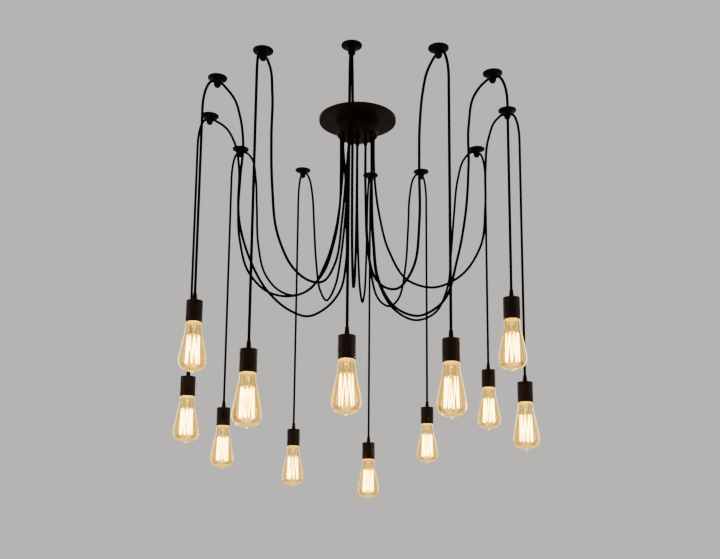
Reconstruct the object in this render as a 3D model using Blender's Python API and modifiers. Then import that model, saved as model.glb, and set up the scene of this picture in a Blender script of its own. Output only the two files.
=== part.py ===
"""A spider pendant light: a ceiling canopy with twelve cords, each swagged to a ceiling hook of its own,
with a lampholder and a teardrop bulb hanging below every hook.

Metres, +Z up. The origin is on the ceiling, at the middle of the crossbar that carries the canopy, and
everything hangs below it. The front of the light is towards -Y. Lights are numbered from the one at the
front, clockwise as seen from above."""

import math

import bmesh
import bpy
import numpy as np
from mathutils import Matrix, Vector

MILLIMETRE = 0.001

# Fits and facets
GAP = 0.0003
OVERRUN = 0.002
WELD = 0.00001
ROUND_FACETS = 36
RING_FACETS = 24
SMALL_FACETS = 12
HEX_FACETS = 6

# Cord
CORD_RADIUS = 0.0032
CORD_BORE_RADIUS = CORD_RADIUS + GAP
CORD_BEND_RADIUS = 0.0115
CORD_LONGEST_RUN = 0.090
CORD_SHARPEST_TURN = math.radians(24)
ROUTE_STEPS = 10

# Canopy: a flat pan against the ceiling, and a round cup that the stud holds up under its middle
CANOPY_RADIUS = 0.1025
CANOPY_RIM = 0.010
CANOPY_WALL = 0.0015
CANOPY_EDGE = 0.0025
PAN_LIP = 0.0020
CUP_RADIUS = 0.0545
CUP_DEPTH = 0.0475
CUP_EDGE = 0.0030

# Stud under the middle of the crossbar, with the two nuts on it
STUD_RADIUS = 0.0048
STUD_TAIL = 0.0100
NUT_WALL = 0.0037
NUT_RADIUS = STUD_RADIUS + NUT_WALL
LOCK_NUT_HEIGHT = 0.0050
FLANGE_LIP = 0.0015
FLANGE_THICKNESS = 0.0012
CAP_NUT_HEIGHT = 0.0130
CAP_NUT_SIDE_HEIGHT = 0.0060
CAP_NUT_DOME_SHARE = 0.88
CAP_NUT_TIP_SHARE = 0.45

# Crossbar, screwed to the ceiling, with the earth screw and the terminal block below it
BAR_LENGTH = 0.140
BAR_WIDTH = 0.022
BAR_THICKNESS = 0.0025
SLOT_FROM_END = 0.015
SLOT_LENGTH = 0.014
CEILING_SCREW_RADIUS = 0.0021
CEILING_HEAD_RADIUS = 0.0045
CEILING_HEAD_HEIGHT = 0.0030
EARTH_SCREW_RADIUS = 0.0018
EARTH_HEAD_RADIUS = 0.0035
EARTH_HEAD_HEIGHT = 0.0025
HEAD_FACE_SHARE = 0.6
NUT_CLEARANCE = 0.0050
BLOCK_LENGTH = 0.024
BLOCK_WIDTH = 0.016
BLOCK_HEIGHT = 0.010

# Splice, where the twelve cords meet round the stud
SPLICE_CLEARANCE = 0.0027
SPLICE_WALL = 0.0095
SPLICE_HEIGHT = 0.009
SPLICE_CORD_INSET = 0.0050
SPLICE_BORE_RADIUS = STUD_RADIUS + SPLICE_CLEARANCE
SPLICE_RADIUS = SPLICE_BORE_RADIUS + SPLICE_WALL
SPLICE_DEPTH = BAR_THICKNESS + GAP + BLOCK_HEIGHT + SPLICE_CLEARANCE + SPLICE_HEIGHT / 2

# Cord grips: twelve necks on one ring plate
GRIP_INSET = 0.0110
GRIP_PLATE_CLEARANCE = 0.0015
GRIP_PLATE_THICKNESS = 0.0025
GRIP_WALL = 0.0015
GRIP_COLLAR_LIP = 0.0010
GRIP_COLLAR_HEIGHT = 0.0040
GRIP_TIP_WALL = 0.0010
GRIP_TIP_HEIGHT = 0.0055
GRIP_RING_RADIUS = CUP_RADIUS - GRIP_INSET
GRIP_NECK_RADIUS = CORD_BORE_RADIUS + GRIP_WALL
GRIP_FOOT_DEPTH = CUP_DEPTH + GAP + GRIP_COLLAR_HEIGHT + GRIP_TIP_HEIGHT

# Ceiling hook
HOOK_RADIUS = 0.0235
HOOK_RIM = 0.0030
HOOK_DISH = 0.0055
HOOK_BOSS_RADIUS = 0.0087
HOOK_TIP_HEIGHT = 0.0045
HOOK_TIP_RADIUS = 0.0048
HOOK_HEIGHT = 0.0260
HOOK_BORE_DEPTH = 0.0124
HOOK_MOUTH_RUN = 0.0015
ARCH_REACH = 0.032
ARCH_TAIL = 0.0040
PIVOT_DEPTH = 0.090

# Bulb: a screw cap and a teardrop of glass
CAP_RADIUS = 0.01325
CAP_HEIGHT = 0.0225
CAP_TIP_RADIUS = 0.0050
CAP_TIP_HEIGHT = 0.0045
GLASS_RADIUS = 0.0320
GLASS_LENGTH = 0.118
GLASS_OUTLINE_SHARES = (
    (0.0, 0.45),
    (0.05, 0.55),
    (0.25, 0.66),
    (0.50, 0.84),
    (0.74, 1.0),
    (0.86, 0.91),
    (0.93, 0.64),
    (0.965, 0.16),
    (1.0, 0.09),
)

# Lampholder, with its cord grip on top and an open bore below
HOLDER_WALL = 0.00545
HOLDER_RADIUS = CAP_RADIUS + GAP + HOLDER_WALL
HOLDER_LENGTH = 0.050
HOLDER_EDGE = 0.0018
HOLDER_CHAMBER_HEIGHT = 0.0090
HOLDER_GRIP_HEIGHT = 0.018
HOLDER_GRIP_FOOT_WALL = 0.0023
HOLDER_GRIP_TOP_WALL = 0.0008
HOLDER_CORD_DEPTH = 0.010
CORD_TAPER = 0.0016
CORD_TAPER_SHARE = 0.48

# The furthest hook and the deepest lampholder, which the lights take their shares of
HOOK_REACH = 0.409
DEEPEST_DROP = 0.832

# One row for each light: how far its hook is turned off the even spacing of the grips, in degrees, then,
# as shares, its hook's reach from the canopy's axis, its lampholder's depth under the ceiling, and how far
# out from its hook and to the side of it the cord hangs down
LIGHT_SHARES = (
    (-1.9, 0.914, 0.802, 1.0, 0.06),
    (-1.5, 0.998, 0.832, 0.88, -0.2),
    (3.1, 0.985, 0.668, 1.06, 0.13),
    (2.1, 0.958, 0.841, 0.91, 0.0),
    (-0.5, 0.963, 0.905, 0.97, 0.02),
    (-4.6, 0.963, 0.958, 1.01, -0.03),
    (-5.8, 0.963, 1.0, 0.99, -0.12),
    (1.4, 1.0, 0.875, 1.03, 0.06),
    (-1.4, 0.956, 0.772, 0.94, -0.03),
    (-8.9, 0.963, 0.858, 0.92, 0.01),
    (-8.3, 1.0, 0.663, 1.13, -0.11),
    (-3.5, 0.998, 0.805, 1.07, -0.15),
)

# The route of each swag, in millimetres out from the canopy's axis and down from the ceiling, in the
# upright plane through its grip and its hook
SWAG_ROUTES = (
    ((45, 160), (53, 280), (78, 400), (125, 480), (195, 507), (262, 440), (288, 320), (295, 200), (308, 100),
     (335, 35)),
    ((55, 170), (72, 300), (100, 420), (150, 479), (213, 492), (285, 472), (340, 410), (362, 310), (370, 190),
     (371, 85), (384, 25)),
    ((34, 180), (29, 300), (30, 400), (46, 475), (88, 527), (145, 556), (192, 547), (251, 510), (306, 430),
     (335, 340), (335, 240), (330, 150), (340, 85), (357, 42), (380, 20)),
    ((43, 150), (45, 250), (58, 340), (92, 435), (135, 478), (184, 488), (225, 478), (275, 430), (303, 340),
     (310, 240), (311, 140), (325, 73), (350, 32), (374, 16)),
    ((44, 130), (50, 210), (65, 300), (95, 385), (140, 447), (194, 460), (245, 440), (295, 385), (320, 300),
     (329, 190), (336, 100), (350, 42), (371, 18)),
    ((50, 150), (65, 250), (90, 350), (130, 430), (185, 457), (238, 415), (272, 320), (292, 210), (310, 110),
     (338, 48), (367, 20)),
    ((47, 150), (58, 250), (85, 350), (130, 430), (190, 455), (248, 415), (283, 320), (300, 210), (315, 110),
     (341, 48), (368, 20)),
    ((44, 160), (54, 280), (76, 390), (115, 460), (185, 473), (252, 435), (295, 335), (314, 210), (326, 105),
     (351, 44), (380, 20)),
    ((45, 180), (50, 330), (68, 440), (110, 502), (180, 528), (245, 500), (284, 430), (299, 320), (310, 210),
     (324, 105), (345, 43), (367, 18)),
    ((46, 160), (60, 270), (87, 370), (135, 446), (200, 467), (268, 440), (320, 365), (334, 260), (336, 160),
     (345, 75), (366, 25)),
    ((45, 190), (52, 340), (73, 460), (125, 532), (200, 561), (265, 535), (305, 440), (330, 330), (340, 210),
     (342, 110), (359, 40), (384, 18)),
    ((44, 150), (47, 260), (60, 370), (98, 455), (160, 498), (235, 512), (298, 475), (321, 380), (321, 250),
     (325, 140), (338, 75), (357, 35), (381, 18)),
)


LIGHTS = len(LIGHT_SHARES)


def clear_scene():
    for old in list(bpy.data.objects):
        bpy.data.objects.remove(old, do_unlink=True)


def new_collection(name):
    made = bpy.data.collections.new(name)
    bpy.context.scene.collection.children.link(made)
    return made


def new_material(name, colour, roughness, metallic=0.0):
    made = bpy.data.materials.new(name)
    made.use_nodes = True
    shader = made.node_tree.nodes["Principled BSDF"]
    shader.inputs["Base Color"].default_value = (*colour, 1.0)
    shader.inputs["Roughness"].default_value = roughness
    shader.inputs["Metallic"].default_value = metallic
    return made


clear_scene()
PARTS = new_collection("spider_pendant_light")
CUTTERS = new_collection("cutters")

CANOPY_BLACK = new_material("canopy_black", (0.020, 0.015, 0.012), 0.35)
HOLDER_BLACK = new_material("holder_black", (0.018, 0.013, 0.011), 0.30)
HOOK_BLACK = new_material("hook_black", (0.014, 0.012, 0.012), 0.25)
CORD_BLACK = new_material("cord_black", (0.016, 0.011, 0.010), 0.55)
AMBER_GLASS = new_material("amber_glass", (0.95, 0.62, 0.22), 0.05)
STEEL = new_material("zinc_steel", (0.60, 0.60, 0.58), 0.35, 1.0)
BLOCK_WHITE = new_material("block_white", (0.82, 0.80, 0.74), 0.50)


def add_part(name, mesh, material):
    """A new object of the light, with its own use of a mesh."""
    made = bpy.data.objects.new(name, mesh)
    PARTS.objects.link(made)
    if not mesh.materials:
        mesh.materials.append(material)
    return made


def add_cutter(name, mesh):
    made = bpy.data.objects.new(name, mesh)
    CUTTERS.objects.link(made)
    made.hide_render = True
    made.display_type = "WIRE"
    return made


def profile_mesh(name, profile, loop):
    """The line of a turned shape, as (radius, height) pairs that run down its outer side."""
    last = len(profile) - 1
    edges = [(i, i + 1) for i in range(last)]
    if loop:
        edges.append((last, 0))
    mesh = bpy.data.meshes.new(name)
    mesh.from_pydata([(radius, 0, height) for radius, height in profile], edges, [])
    return mesh


def add_screw(made, facets):
    turn = made.modifiers.new("Turn", "SCREW")
    turn.angle = math.tau
    turn.steps = facets
    turn.render_steps = facets
    turn.use_merge_vertices = True
    turn.merge_threshold = WELD
    turn.use_smooth_shade = True


def turned(name, profile, material, facets=SMALL_FACETS, loop=False):
    """A round piece about its own Z axis. A loop leaves a hole along the axis."""
    made = add_part(name, profile_mesh(name, profile, loop), material)
    add_screw(made, facets)
    return made


def add_boolean(made, operation, other):
    step = made.modifiers.new(other.name, "BOOLEAN")
    step.operation = operation
    step.solver = "EXACT"
    step.object = other


def evaluated_mesh(made):
    """The mesh of an object with its modifiers worked out."""
    bpy.context.view_layer.update()
    graph = bpy.context.evaluated_depsgraph_get()
    return bpy.data.meshes.new_from_object(made.evaluated_get(graph))


def merged_mesh(name, pieces):
    """One mesh that holds several closed bodies, each moved to its own place."""
    joined = bmesh.new()
    for mesh, place in pieces:
        start = len(joined.verts)
        joined.from_mesh(mesh)
        joined.verts.ensure_lookup_table()
        bmesh.ops.transform(joined, matrix=place, verts=joined.verts[start:])
    bmesh.ops.remove_doubles(joined, verts=joined.verts, dist=WELD)
    bmesh.ops.recalc_face_normals(joined, faces=joined.faces)
    mesh = bpy.data.meshes.new(name)
    joined.to_mesh(mesh)
    joined.free()
    return mesh


def rod_mesh(name, radius, length, facets=SMALL_FACETS):
    """A closed cylinder about Z, with its middle at the origin."""
    rod = bmesh.new()
    bmesh.ops.create_cone(rod, cap_ends=True, segments=facets, radius1=radius, radius2=radius, depth=length)
    mesh = bpy.data.meshes.new(name)
    rod.to_mesh(mesh)
    rod.free()
    return mesh


def box_mesh(name, size):
    box = bmesh.new()
    bmesh.ops.create_cube(box, size=1.0, matrix=Matrix.Diagonal((*size, 1.0)))
    mesh = bpy.data.meshes.new(name)
    box.to_mesh(mesh)
    box.free()
    return mesh


def rounded_corner(radius, height, round_radius, steps=2):
    """The lower outer corner of a turned profile, rounded off, from its side to its foot."""
    angles = [math.radians(90 * i / steps) for i in range(steps + 1)]
    return [
        (radius - round_radius * (1 - math.cos(a)), height + round_radius * (1 - math.sin(a))) for a in angles
    ]


def grip_angle(light):
    """The grips stand evenly round the canopy, the first at the front."""
    return math.radians(-90 - 360 * light / LIGHTS)


def outward(angle):
    return np.array([math.cos(angle), math.sin(angle), 0.0])


def hook_place(light):
    turn, reach_share = LIGHT_SHARES[light][:2]
    return outward(grip_angle(light) + math.radians(turn)) * HOOK_REACH * reach_share


def run_direction(light):
    """The level direction from a light's grip to its hook."""
    run = hook_place(light) - outward(grip_angle(light)) * GRIP_RING_RADIUS
    return run / np.linalg.norm(run)


def side_direction(light):
    """The level direction square to the light's run."""
    return np.cross(run_direction(light), (0, 0, 1))


def arch_steps(light):
    """How far out from the hook and to its side the cord hangs down."""
    out_share, side_share = LIGHT_SHARES[light][3:]
    return ARCH_REACH * out_share, ARCH_REACH * side_share


def plumb_place(light):
    """The point under the ceiling where the cord turns straight down, which the light swings about."""
    out, aside = arch_steps(light)
    place = hook_place(light) + run_direction(light) * out + side_direction(light) * aside
    return Vector(place) + Vector((0, 0, -PIVOT_DEPTH))


def drop_of(light):
    return DEEPEST_DROP * LIGHT_SHARES[light][2]


def make_canopy():
    """The pan, and the cup under its lip, with a hole for the stud and one for each grip."""
    hole_radius = CUP_RADIUS - PAN_LIP
    pan = [(CANOPY_RADIUS, 0)]
    pan += rounded_corner(CANOPY_RADIUS, -CANOPY_RIM, CANOPY_EDGE)
    pan += [
        (hole_radius, -CANOPY_RIM),
        (hole_radius, CANOPY_WALL - CANOPY_RIM),
        (CANOPY_RADIUS - CANOPY_EDGE, CANOPY_WALL - CANOPY_RIM),
        (CANOPY_RADIUS - CANOPY_WALL, CANOPY_EDGE - CANOPY_RIM),
        (CANOPY_RADIUS - CANOPY_WALL, 0),
    ]
    turned("canopy_pan", pan, CANOPY_BLACK, ROUND_FACETS, loop=True)

    stud_hole = STUD_RADIUS + GAP
    cup_top = -CANOPY_RIM - GAP
    cup = [(CUP_RADIUS, cup_top)]
    cup += rounded_corner(CUP_RADIUS, -CUP_DEPTH, CUP_EDGE)
    cup += [
        (stud_hole, -CUP_DEPTH),
        (stud_hole, CANOPY_WALL - CUP_DEPTH),
        (CUP_RADIUS - CUP_EDGE, CANOPY_WALL - CUP_DEPTH),
        (CUP_RADIUS - CANOPY_WALL, CUP_EDGE - CUP_DEPTH),
        (CUP_RADIUS - CANOPY_WALL, cup_top),
    ]
    canopy_cup = turned("canopy_cup", cup, CANOPY_BLACK, ROUND_FACETS, loop=True)
    hole = rod_mesh("grip_hole", GRIP_NECK_RADIUS + GAP, CANOPY_WALL + 2 * OVERRUN)
    middle = CANOPY_WALL / 2 - CUP_DEPTH
    holes = merged_mesh("grip_holes", [(hole, grip_matrix(light, middle)) for light in range(LIGHTS)])
    add_boolean(canopy_cup, "DIFFERENCE", add_cutter("grip_holes", holes))


def grip_matrix(light, height):
    """The place of a light's grip on the canopy, turned to face its light."""
    turn = Matrix.Rotation(grip_angle(light), 4, "Z")
    return turn @ Matrix.Translation((GRIP_RING_RADIUS, 0, height))


def make_cord_grips():
    """Twelve grips that stand down through the cup's floor, on one ring plate that lies on the floor."""
    floor = CANOPY_WALL + GAP - CUP_DEPTH
    plate_top = floor + GRIP_PLATE_THICKNESS
    half_width = GRIP_INSET - CUP_EDGE - GRIP_PLATE_CLEARANCE
    plate = [
        (GRIP_RING_RADIUS + half_width, plate_top),
        (GRIP_RING_RADIUS + half_width, floor),
        (GRIP_RING_RADIUS - half_width, floor),
        (GRIP_RING_RADIUS - half_width, plate_top),
    ]
    grips = turned("cord_grips", plate, HOOK_BLACK, RING_FACETS, loop=True)
    neck_top = floor + GRIP_PLATE_THICKNESS / 2
    under_cup = -CUP_DEPTH - GAP
    collar_radius = GRIP_NECK_RADIUS + GRIP_COLLAR_LIP
    grip = [
        (0, neck_top),
        (GRIP_NECK_RADIUS, neck_top),
        (GRIP_NECK_RADIUS, under_cup),
        (collar_radius, under_cup),
        (collar_radius, under_cup - GRIP_COLLAR_HEIGHT),
        (CORD_BORE_RADIUS + GRIP_TIP_WALL, -GRIP_FOOT_DEPTH),
        (0, -GRIP_FOOT_DEPTH),
    ]
    pattern = turned("grip_pattern", grip, HOOK_BLACK)
    pattern_mesh = evaluated_mesh(pattern)
    bpy.data.objects.remove(pattern)
    bore = rod_mesh("grip_bore", CORD_BORE_RADIUS, plate_top + GRIP_FOOT_DEPTH + 2 * OVERRUN)
    bore_middle = (plate_top - GRIP_FOOT_DEPTH) / 2
    necks = merged_mesh("grip_necks", [(pattern_mesh, grip_matrix(light, 0)) for light in range(LIGHTS)])
    bores = merged_mesh("grip_bores", [(bore, grip_matrix(light, bore_middle)) for light in range(LIGHTS)])
    add_boolean(grips, "UNION", add_cutter("grip_necks", necks))
    add_boolean(grips, "DIFFERENCE", add_cutter("grip_bores", bores))


def smooth_line(points, start_slope, end_slope):
    """A smooth line through the points: a cubic in each span, with slopes taken from the points before
    and after by distance, and given ones at the two ends."""
    points = np.array(points, float)
    spans = np.linalg.norm(np.diff(points, axis=0), axis=1)
    along = np.concatenate([[0.0], np.cumsum(spans)])
    slopes = np.gradient(points, along, axis=0)
    slopes[0] = start_slope
    slopes[-1] = end_slope
    line = []
    for i, span in enumerate(spans):
        for t in np.arange(ROUTE_STEPS) / ROUTE_STEPS:
            line.append(
                (2 * t**3 - 3 * t**2 + 1) * points[i]
                + (t**3 - 2 * t**2 + t) * span * slopes[i]
                + (3 * t**2 - 2 * t**3) * points[i + 1]
                + (t**3 - t**2) * span * slopes[i + 1]
            )
    line.append(points[-1])
    return line


def thinned(line):
    """Fewer points on the same line: a new one after the longest run or the sharpest turn allowed."""
    kept = [line[0]]
    run = 0.0
    turn = 0.0
    for before, here, after in zip(line, line[1:], line[2:]):
        step = here - before
        ahead = after - here
        cosine = step @ ahead / (np.linalg.norm(step) * np.linalg.norm(ahead))
        run += np.linalg.norm(step)
        turn += math.acos(max(-1.0, min(1.0, cosine)))
        if run > CORD_LONGEST_RUN or turn > CORD_SHARPEST_TURN:
            kept.append(here)
            run = 0.0
            turn = 0.0
    kept.append(line[-1])
    return kept


def quarter_turn(start, end, steps=12):
    """Points of a quarter of an ellipse, as (out, down): it leaves start level and reaches end going down."""
    start, end = np.array(start), np.array(end)
    angles = [math.radians(90 * i / steps) for i in range(steps + 1)]
    return [start + (end - start) * (math.sin(a), 1 - math.cos(a)) for a in angles]


def swag_line(light):
    """The centre of a swagged cord: from the splice, out and down through its grip, along its swag, in
    and out of the hook's bore, and over to the point where it turns straight down."""
    grip_out = outward(grip_angle(light))
    grip = grip_out * GRIP_RING_RADIUS
    run = run_direction(light)
    hook_out = GRIP_RING_RADIUS + np.linalg.norm(hook_place(light) - grip)
    bend_start = GRIP_RING_RADIUS - CORD_BEND_RADIUS
    splice_end = SPLICE_RADIUS - SPLICE_CORD_INSET
    inside = [np.array((splice_end, SPLICE_DEPTH))]
    inside += quarter_turn((bend_start, SPLICE_DEPTH), (GRIP_RING_RADIUS, SPLICE_DEPTH + CORD_BEND_RADIUS))
    route = [(out * MILLIMETRE, down * MILLIMETRE) for out, down in SWAG_ROUTES[light]]
    mouth = HOOK_BOSS_RADIUS + HOOK_MOUTH_RUN
    reach, aside = arch_steps(light)
    free = smooth_line(
        [(GRIP_RING_RADIUS, GRIP_FOOT_DEPTH), *route, (hook_out - mouth, HOOK_BORE_DEPTH)], (0, 1), (1, 0)
    )
    plumb_out, arch_foot = hook_out + reach, PIVOT_DEPTH - GAP
    arch = quarter_turn((hook_out + mouth, HOOK_BORE_DEPTH), (plumb_out, arch_foot - ARCH_TAIL))
    below = thinned(free) + thinned(arch) + [(plumb_out, arch_foot)]
    outer = []
    for out, down in below:
        past_hook = max(0.0, (out - hook_out - mouth) / (reach - mouth))
        sidestep = side_direction(light) * aside * past_hook**2
        outer.append(grip + run * (out - GRIP_RING_RADIUS) + sidestep - (0, 0, down))
    inner = [grip_out * out - (0, 0, down) for out, down in thinned(inside)]
    return inner + outer


def cord_curve(name, points, shares=None):
    """A round cord through the points. Shares of its radius can narrow it."""
    curve = bpy.data.curves.new(name, "CURVE")
    curve.dimensions = "3D"
    curve.twist_mode = "MINIMUM"
    curve.bevel_depth = CORD_RADIUS
    curve.bevel_resolution = 2
    curve.use_fill_caps = True
    spline = curve.splines.new("POLY")
    spline.points.add(len(points) - 1)
    for i, place in enumerate(points):
        spline.points[i].co = (*place, 1.0)
        spline.points[i].radius = shares[i] if shares else 1.0
    curve.materials.append(CORD_BLACK)
    return curve


def make_swag_cords():
    """The twelve swagged cords, which meet in the splice round the canopy's stud."""
    top = SPLICE_HEIGHT / 2 - SPLICE_DEPTH
    foot = -SPLICE_HEIGHT / 2 - SPLICE_DEPTH
    ring = [
        (SPLICE_RADIUS, top),
        (SPLICE_RADIUS, foot),
        (SPLICE_BORE_RADIUS, foot),
        (SPLICE_BORE_RADIUS, top),
    ]
    swags = turned("swag_cords", ring, CORD_BLACK, RING_FACETS, loop=True)
    tubes = []
    for light in range(LIGHTS):
        curve = cord_curve("swag_tube", swag_line(light))
        guide = bpy.data.objects.new("swag_guide", curve)
        CUTTERS.objects.link(guide)
        tubes.append((evaluated_mesh(guide), Matrix.Identity(4)))
        bpy.data.objects.remove(guide)
    add_boolean(swags, "UNION", add_cutter("swag_tubes", merged_mesh("swag_tubes", tubes)))


def make_hook_mesh():
    """A dished disc on the ceiling with a boss below it, bored across for the cord."""
    profile = [
        (0, 0),
        (HOOK_RADIUS, 0),
        (HOOK_RADIUS, -HOOK_RIM),
        (HOOK_BOSS_RADIUS, -HOOK_RIM - HOOK_DISH),
        (HOOK_BOSS_RADIUS, HOOK_TIP_HEIGHT - HOOK_HEIGHT),
        (HOOK_TIP_RADIUS, -HOOK_HEIGHT),
        (0, -HOOK_HEIGHT),
    ]
    pattern = turned("hook_pattern", profile, HOOK_BLACK)
    bore = add_cutter("hook_bore", rod_mesh("hook_bore", CORD_BORE_RADIUS, 2 * HOOK_RADIUS))
    bore.rotation_euler = (0, math.radians(90), 0)
    bore.location = (0, 0, -HOOK_BORE_DEPTH)
    add_boolean(pattern, "DIFFERENCE", bore)
    mesh = evaluated_mesh(pattern)
    bpy.data.objects.remove(pattern)
    bpy.data.objects.remove(bore)
    return mesh


def holder_profile():
    """Lampholder: its height is 0 at the top of the shell. The bore opens downwards."""
    rim = -HOLDER_LENGTH
    bore_top = rim + CAP_HEIGHT + CAP_TIP_HEIGHT + HOLDER_CHAMBER_HEIGHT
    cord_floor = HOLDER_GRIP_HEIGHT - HOLDER_CORD_DEPTH
    bore = CAP_RADIUS + GAP
    return [
        (0, cord_floor),
        (CORD_BORE_RADIUS, cord_floor),
        (CORD_BORE_RADIUS, HOLDER_GRIP_HEIGHT),
        (CORD_BORE_RADIUS + HOLDER_GRIP_TOP_WALL, HOLDER_GRIP_HEIGHT),
        (CORD_BORE_RADIUS + HOLDER_GRIP_FOOT_WALL, 0),
        (HOLDER_RADIUS - HOLDER_EDGE, 0),
        (HOLDER_RADIUS, -HOLDER_EDGE),
        (HOLDER_RADIUS, rim),
        (bore, rim),
        (bore, bore_top),
        (0, bore_top),
    ]


def bulb_profile():
    """Bulb: its height is 0 at the lampholder's rim, with the cap above and the glass below."""
    glass_top = -GAP
    cap = [
        (0, CAP_HEIGHT + CAP_TIP_HEIGHT),
        (CAP_TIP_RADIUS, CAP_HEIGHT + CAP_TIP_HEIGHT),
        (CAP_RADIUS, CAP_HEIGHT),
        (CAP_RADIUS, glass_top),
    ]
    glass = [(GLASS_RADIUS * wide, glass_top - GLASS_LENGTH * down) for down, wide in GLASS_OUTLINE_SHARES]
    return cap + glass + [(0, glass_top - GLASS_LENGTH)]


def drop_points(light):
    """The straight cord from the pivot down into the lampholder's grip, with its top end narrowed, so
    that it swings clear of the cord above it."""
    foot = HOLDER_GRIP_HEIGHT - HOLDER_CORD_DEPTH + GAP - (drop_of(light) - PIVOT_DEPTH)
    return [(0, 0, 0), (0, 0, -CORD_TAPER), (0, 0, foot / 2), (0, 0, foot)]


def make_light(light, hook_mesh, holder_mesh, bulb_mesh):
    number = f"{light + 1:02d}"
    heading = math.atan2(run_direction(light)[1], run_direction(light)[0])
    hook = add_part(f"hook_{number}", hook_mesh, HOOK_BLACK)
    hook.location = hook_place(light)
    hook.rotation_euler = (0, 0, heading)

    pivot = bpy.data.objects.new(f"pendant_{number}_pivot", None)
    PARTS.objects.link(pivot)
    pivot.location = plumb_place(light)
    pivot.rotation_euler = (0, 0, heading)

    shares = [CORD_TAPER_SHARE, 1.0, 1.0, 1.0]
    cord = bpy.data.objects.new(f"drop_cord_{number}", cord_curve("drop_cord", drop_points(light), shares))
    PARTS.objects.link(cord)
    cord.parent = pivot

    shell_top = PIVOT_DEPTH - drop_of(light)
    holder = add_part(f"lampholder_{number}", holder_mesh, HOLDER_BLACK)
    add_screw(holder, SMALL_FACETS)
    holder.location = (0, 0, shell_top)
    holder.parent = pivot

    bulb = add_part(f"bulb_{number}", bulb_mesh, AMBER_GLASS)
    add_screw(bulb, SMALL_FACETS)
    bulb.location = (0, 0, shell_top - HOLDER_LENGTH)
    bulb.parent = pivot


def make_crossbar():
    """A flat bar against the ceiling, with a slot near each end and a hole for the earth screw."""
    bar = add_part("crossbar", box_mesh("crossbar", (BAR_LENGTH, BAR_WIDTH, BAR_THICKNESS)), STEEL)
    middle = -BAR_THICKNESS / 2
    bar.location = (0, 0, middle)
    slot_width = 2 * (CEILING_SCREW_RADIUS + GAP)
    depth = BAR_THICKNESS + 2 * OVERRUN
    slot = box_mesh("slot", (SLOT_LENGTH, slot_width, depth))
    hole = rod_mesh("earth_hole", EARTH_SCREW_RADIUS + GAP, depth)
    cuts = [(slot, Matrix.Translation((side * slot_place(), 0, middle))) for side in (-1, 1)]
    cuts.append((hole, Matrix.Translation((-earth_screw_place(), 0, middle))))
    add_boolean(bar, "DIFFERENCE", add_cutter("bar_cuts", merged_mesh("bar_cuts", cuts)))


def slot_place():
    return BAR_LENGTH / 2 - SLOT_FROM_END


def earth_screw_place():
    """Half way between the nut and the slot."""
    return (NUT_RADIUS + slot_place() - SLOT_LENGTH / 2) / 2


def make_screw(name, place, shank_radius, head_radius, head_height):
    """A pan-headed screw up through the bar, whose shank ends at the ceiling."""
    head_top = -BAR_THICKNESS - GAP
    profile = [
        (0, -GAP),
        (shank_radius, -GAP),
        (shank_radius, head_top),
        (head_radius, head_top),
        (head_radius, head_top - head_height / 2),
        (head_radius * HEAD_FACE_SHARE, head_top - head_height),
        (0, head_top - head_height),
    ]
    screw = turned(name, profile, STEEL)
    screw.location = (place, 0, 0)


def make_centre_fixing():
    """The stud under the bar, the nut that locks it there, and the flanged cap nut under the cup."""
    bar_foot = -BAR_THICKNESS - GAP
    stud_foot = -CUP_DEPTH - STUD_TAIL
    stud = [(0, bar_foot), (STUD_RADIUS, bar_foot), (STUD_RADIUS, stud_foot), (0, stud_foot)]
    turned("centre_stud", stud, STEEL)

    bore = STUD_RADIUS + GAP
    hex_bore = bore / math.cos(math.pi / HEX_FACETS)
    lock_foot = bar_foot - LOCK_NUT_HEIGHT
    lock_nut = [(NUT_RADIUS, bar_foot), (NUT_RADIUS, lock_foot), (hex_bore, lock_foot), (hex_bore, bar_foot)]
    turned("lock_nut", lock_nut, STEEL, HEX_FACETS, loop=True)

    flange_top = -CUP_DEPTH - GAP
    flange_foot = flange_top - FLANGE_THICKNESS
    bore_floor = stud_foot - GAP
    cap_nut = [
        (0, bore_floor),
        (bore, bore_floor),
        (bore, flange_top),
        (NUT_RADIUS + FLANGE_LIP, flange_top),
        (NUT_RADIUS + FLANGE_LIP, flange_foot),
        (NUT_RADIUS, flange_foot),
        (NUT_RADIUS, flange_foot - CAP_NUT_SIDE_HEIGHT),
        (NUT_RADIUS * CAP_NUT_DOME_SHARE, flange_foot - CAP_NUT_SIDE_HEIGHT),
        (NUT_RADIUS * CAP_NUT_TIP_SHARE, flange_foot - CAP_NUT_HEIGHT),
        (0, flange_foot - CAP_NUT_HEIGHT),
    ]
    turned("cap_nut", cap_nut, CANOPY_BLACK)


def make_terminal_block():
    """The block under the bar where the supply is wired."""
    mesh = box_mesh("terminal_block", (BLOCK_LENGTH, BLOCK_WIDTH, BLOCK_HEIGHT))
    block = add_part("terminal_block", mesh, BLOCK_WHITE)
    place = NUT_RADIUS + NUT_CLEARANCE + BLOCK_LENGTH / 2
    block.location = (place, 0, -BAR_THICKNESS - GAP - BLOCK_HEIGHT / 2)


def main():
    make_canopy()
    make_cord_grips()
    make_crossbar()
    make_centre_fixing()
    make_terminal_block()
    ceiling_screw = (CEILING_SCREW_RADIUS, CEILING_HEAD_RADIUS, CEILING_HEAD_HEIGHT)
    make_screw("ceiling_screw_1", -slot_place(), *ceiling_screw)
    make_screw("ceiling_screw_2", slot_place(), *ceiling_screw)
    make_screw("earth_screw", -earth_screw_place(), EARTH_SCREW_RADIUS, EARTH_HEAD_RADIUS, EARTH_HEAD_HEIGHT)
    make_swag_cords()
    hook_mesh = make_hook_mesh()
    holder_mesh = profile_mesh("lampholder", holder_profile(), False)
    bulb_mesh = profile_mesh("bulb", bulb_profile(), False)
    for light in range(LIGHTS):
        make_light(light, hook_mesh, holder_mesh, bulb_mesh)


main()
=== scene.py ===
import math

import bmesh
import bpy
import numpy as np
from mathutils import Matrix, Vector


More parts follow.
